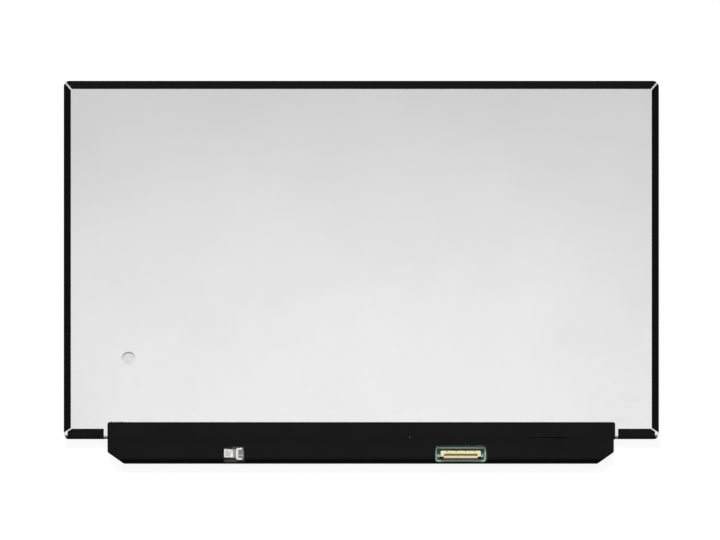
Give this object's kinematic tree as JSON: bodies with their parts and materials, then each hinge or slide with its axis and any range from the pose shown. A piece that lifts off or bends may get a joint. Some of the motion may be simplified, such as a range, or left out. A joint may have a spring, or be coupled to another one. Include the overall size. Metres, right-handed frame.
{
  "type": "laptop screen panel",
  "caption": "Slim bare LCD panel for a laptop, lying face down, with a metal back, black edge tapes and a board strip with a display connector along its lower edge.",
  "frame": {"origin": "middle of the outline, on the surface that the panel lies on, screen side down", "axes": "+X to the right and +Y up as seen from the back, +Z out of the back"},
  "size_m": [0.283, 0.1822, 0.0025],
  "materials": {
    "back_plate": "satin sheet",
    "edge_tape": "satin film tape",
    "cover_tape": "satin film tape",
    "frame_plastic": "moulded",
    "glass": "polished",
    "polariser": "anti-glare",
    "optical_film": "translucent film",
    "light_guide": "clear sheet",
    "reflector": "white film",
    "led": "moulded",
    "flex": "coated film",
    "white_plastic": "moulded",
    "grey_plastic": "moulded",
    "board": "green solder mask",
    "driver_film": "amber film",
    "chip": "moulded",
    "ferrite": "moulded",
    "capacitor": "fired",
    "ivory_plastic": "moulded",
    "connector_shell": "plated",
    "contact": "gold plated",
    "solder_tab": "tinned"
  },
  "bodies": {
    "root": {"front_polariser": "polariser", "colour_filter_glass": "glass", "array_glass": "glass", "rear_polariser": "polariser", "cell_tape": "edge_tape", "mould_frame": "frame_plastic", "upper_prism_sheet": "optical_film", "lower_prism_sheet": "optical_film", "diffuser_sheet": "optical_film", "light_guide": "light_guide", "reflector_sheet": "reflector", "back_plate": "back_plate", "leds": "led", "led_strip_flex": "flex", "led_strip_tape": "flex", "led_tail_stiffener": "white_plastic", "circuit_board": "board", "driver_film_1": "driver_film", "driver_film_2": "driver_film", "driver_film_3": "driver_film", "driver_film_4": "driver_film", "driver_chip_1": "chip", "driver_chip_2": "chip", "driver_chip_3": "chip", "driver_chip_4": "chip", "timing_controller": "chip", "memory_chip": "chip", "power_chip": "chip", "backlight_driver_chip": "chip", "inductors": "ferrite", "capacitors": "capacitor", "resistors": "chip", "display_connector_housing": "ivory_plastic", "display_connector_shell": "connector_shell", "display_connector_contacts": "contact", "display_connector_nails": "solder_tab", "light_connector_housing": "white_plastic", "light_connector_latch": "grey_plastic", "light_connector_contacts": "solder_tab", "light_connector_nails": "solder_tab", "edge_tape_top": "edge_tape", "edge_tape_left": "edge_tape", "edge_tape_right": "edge_tape", "edge_tape_bottom_left": "edge_tape", "edge_tape_bottom_right": "edge_tape", "board_cover_tape": "cover_tape", "board_front_tape": "cover_tape"}
  },
  "joints": []
}
